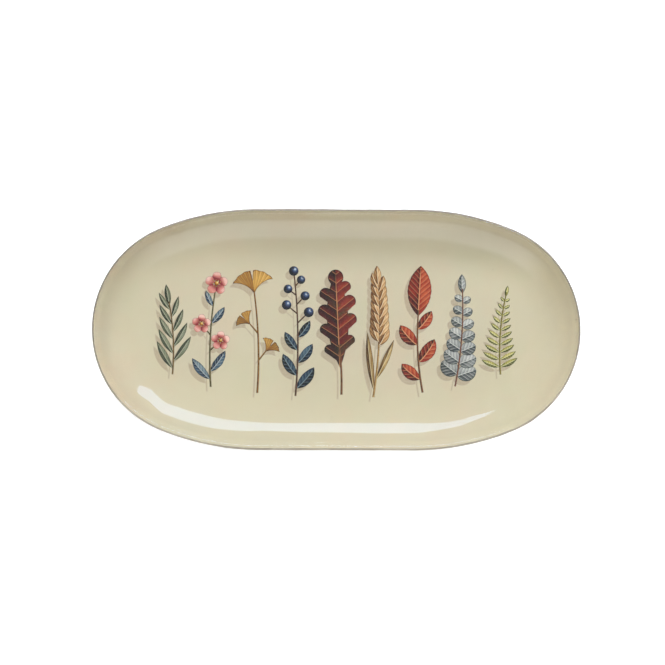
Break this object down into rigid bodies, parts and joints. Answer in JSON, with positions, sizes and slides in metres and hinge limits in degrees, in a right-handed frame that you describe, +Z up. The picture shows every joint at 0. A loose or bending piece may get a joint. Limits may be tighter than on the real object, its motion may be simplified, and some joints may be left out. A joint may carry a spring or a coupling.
{
  "type": "trinket tray",
  "caption": "Shallow oval glass tray with a gently upturned rim, cut-paper plant pictures on cream paper sealed under the glass, and a felt pad to stand on.",
  "frame": {"origin": "middle of the felt pad's underside, on the table", "axes": "+Z up out of the dish, +X along the tray's length, +Y to the far long side, which is the upper side in the picture"},
  "size_m": [0.2506, 0.1238, 0.0162],
  "materials": {
    "clear_glass": "clear, polished, with a ground edge",
    "cream_paper": "matt aged cream paper",
    "dark_backing": "dark brown paper with a dull varnish",
    "felt": "charcoal felt",
    "willow_print": "grey green print on cut paper",
    "blossom_print": "pink and blue print on cut paper",
    "ginkgo_print": "ochre and brown print on cut paper",
    "berry_print": "navy print on cut paper",
    "oak_print": "dark red and green print on cut paper",
    "wheat_print": "tan print on cut paper",
    "beech_print": "brick red print on cut paper",
    "eucalyptus_print": "silver grey print on cut paper",
    "fern_print": "yellow green print on cut paper"
  },
  "bodies": {
    "root": {"glass_tray": "clear_glass", "ground_paper": "cream_paper", "backing_sheet": "dark_backing", "felt_pad": "felt", "willow_cutout": "willow_print", "blossom_cutout": "blossom_print", "ginkgo_cutout": "ginkgo_print", "berry_cutout": "berry_print", "oak_cutout": "oak_print", "wheat_cutout": "wheat_print", "beech_cutout": "beech_print", "eucalyptus_cutout": "eucalyptus_print", "fern_cutout": "fern_print"}
  },
  "joints": []
}
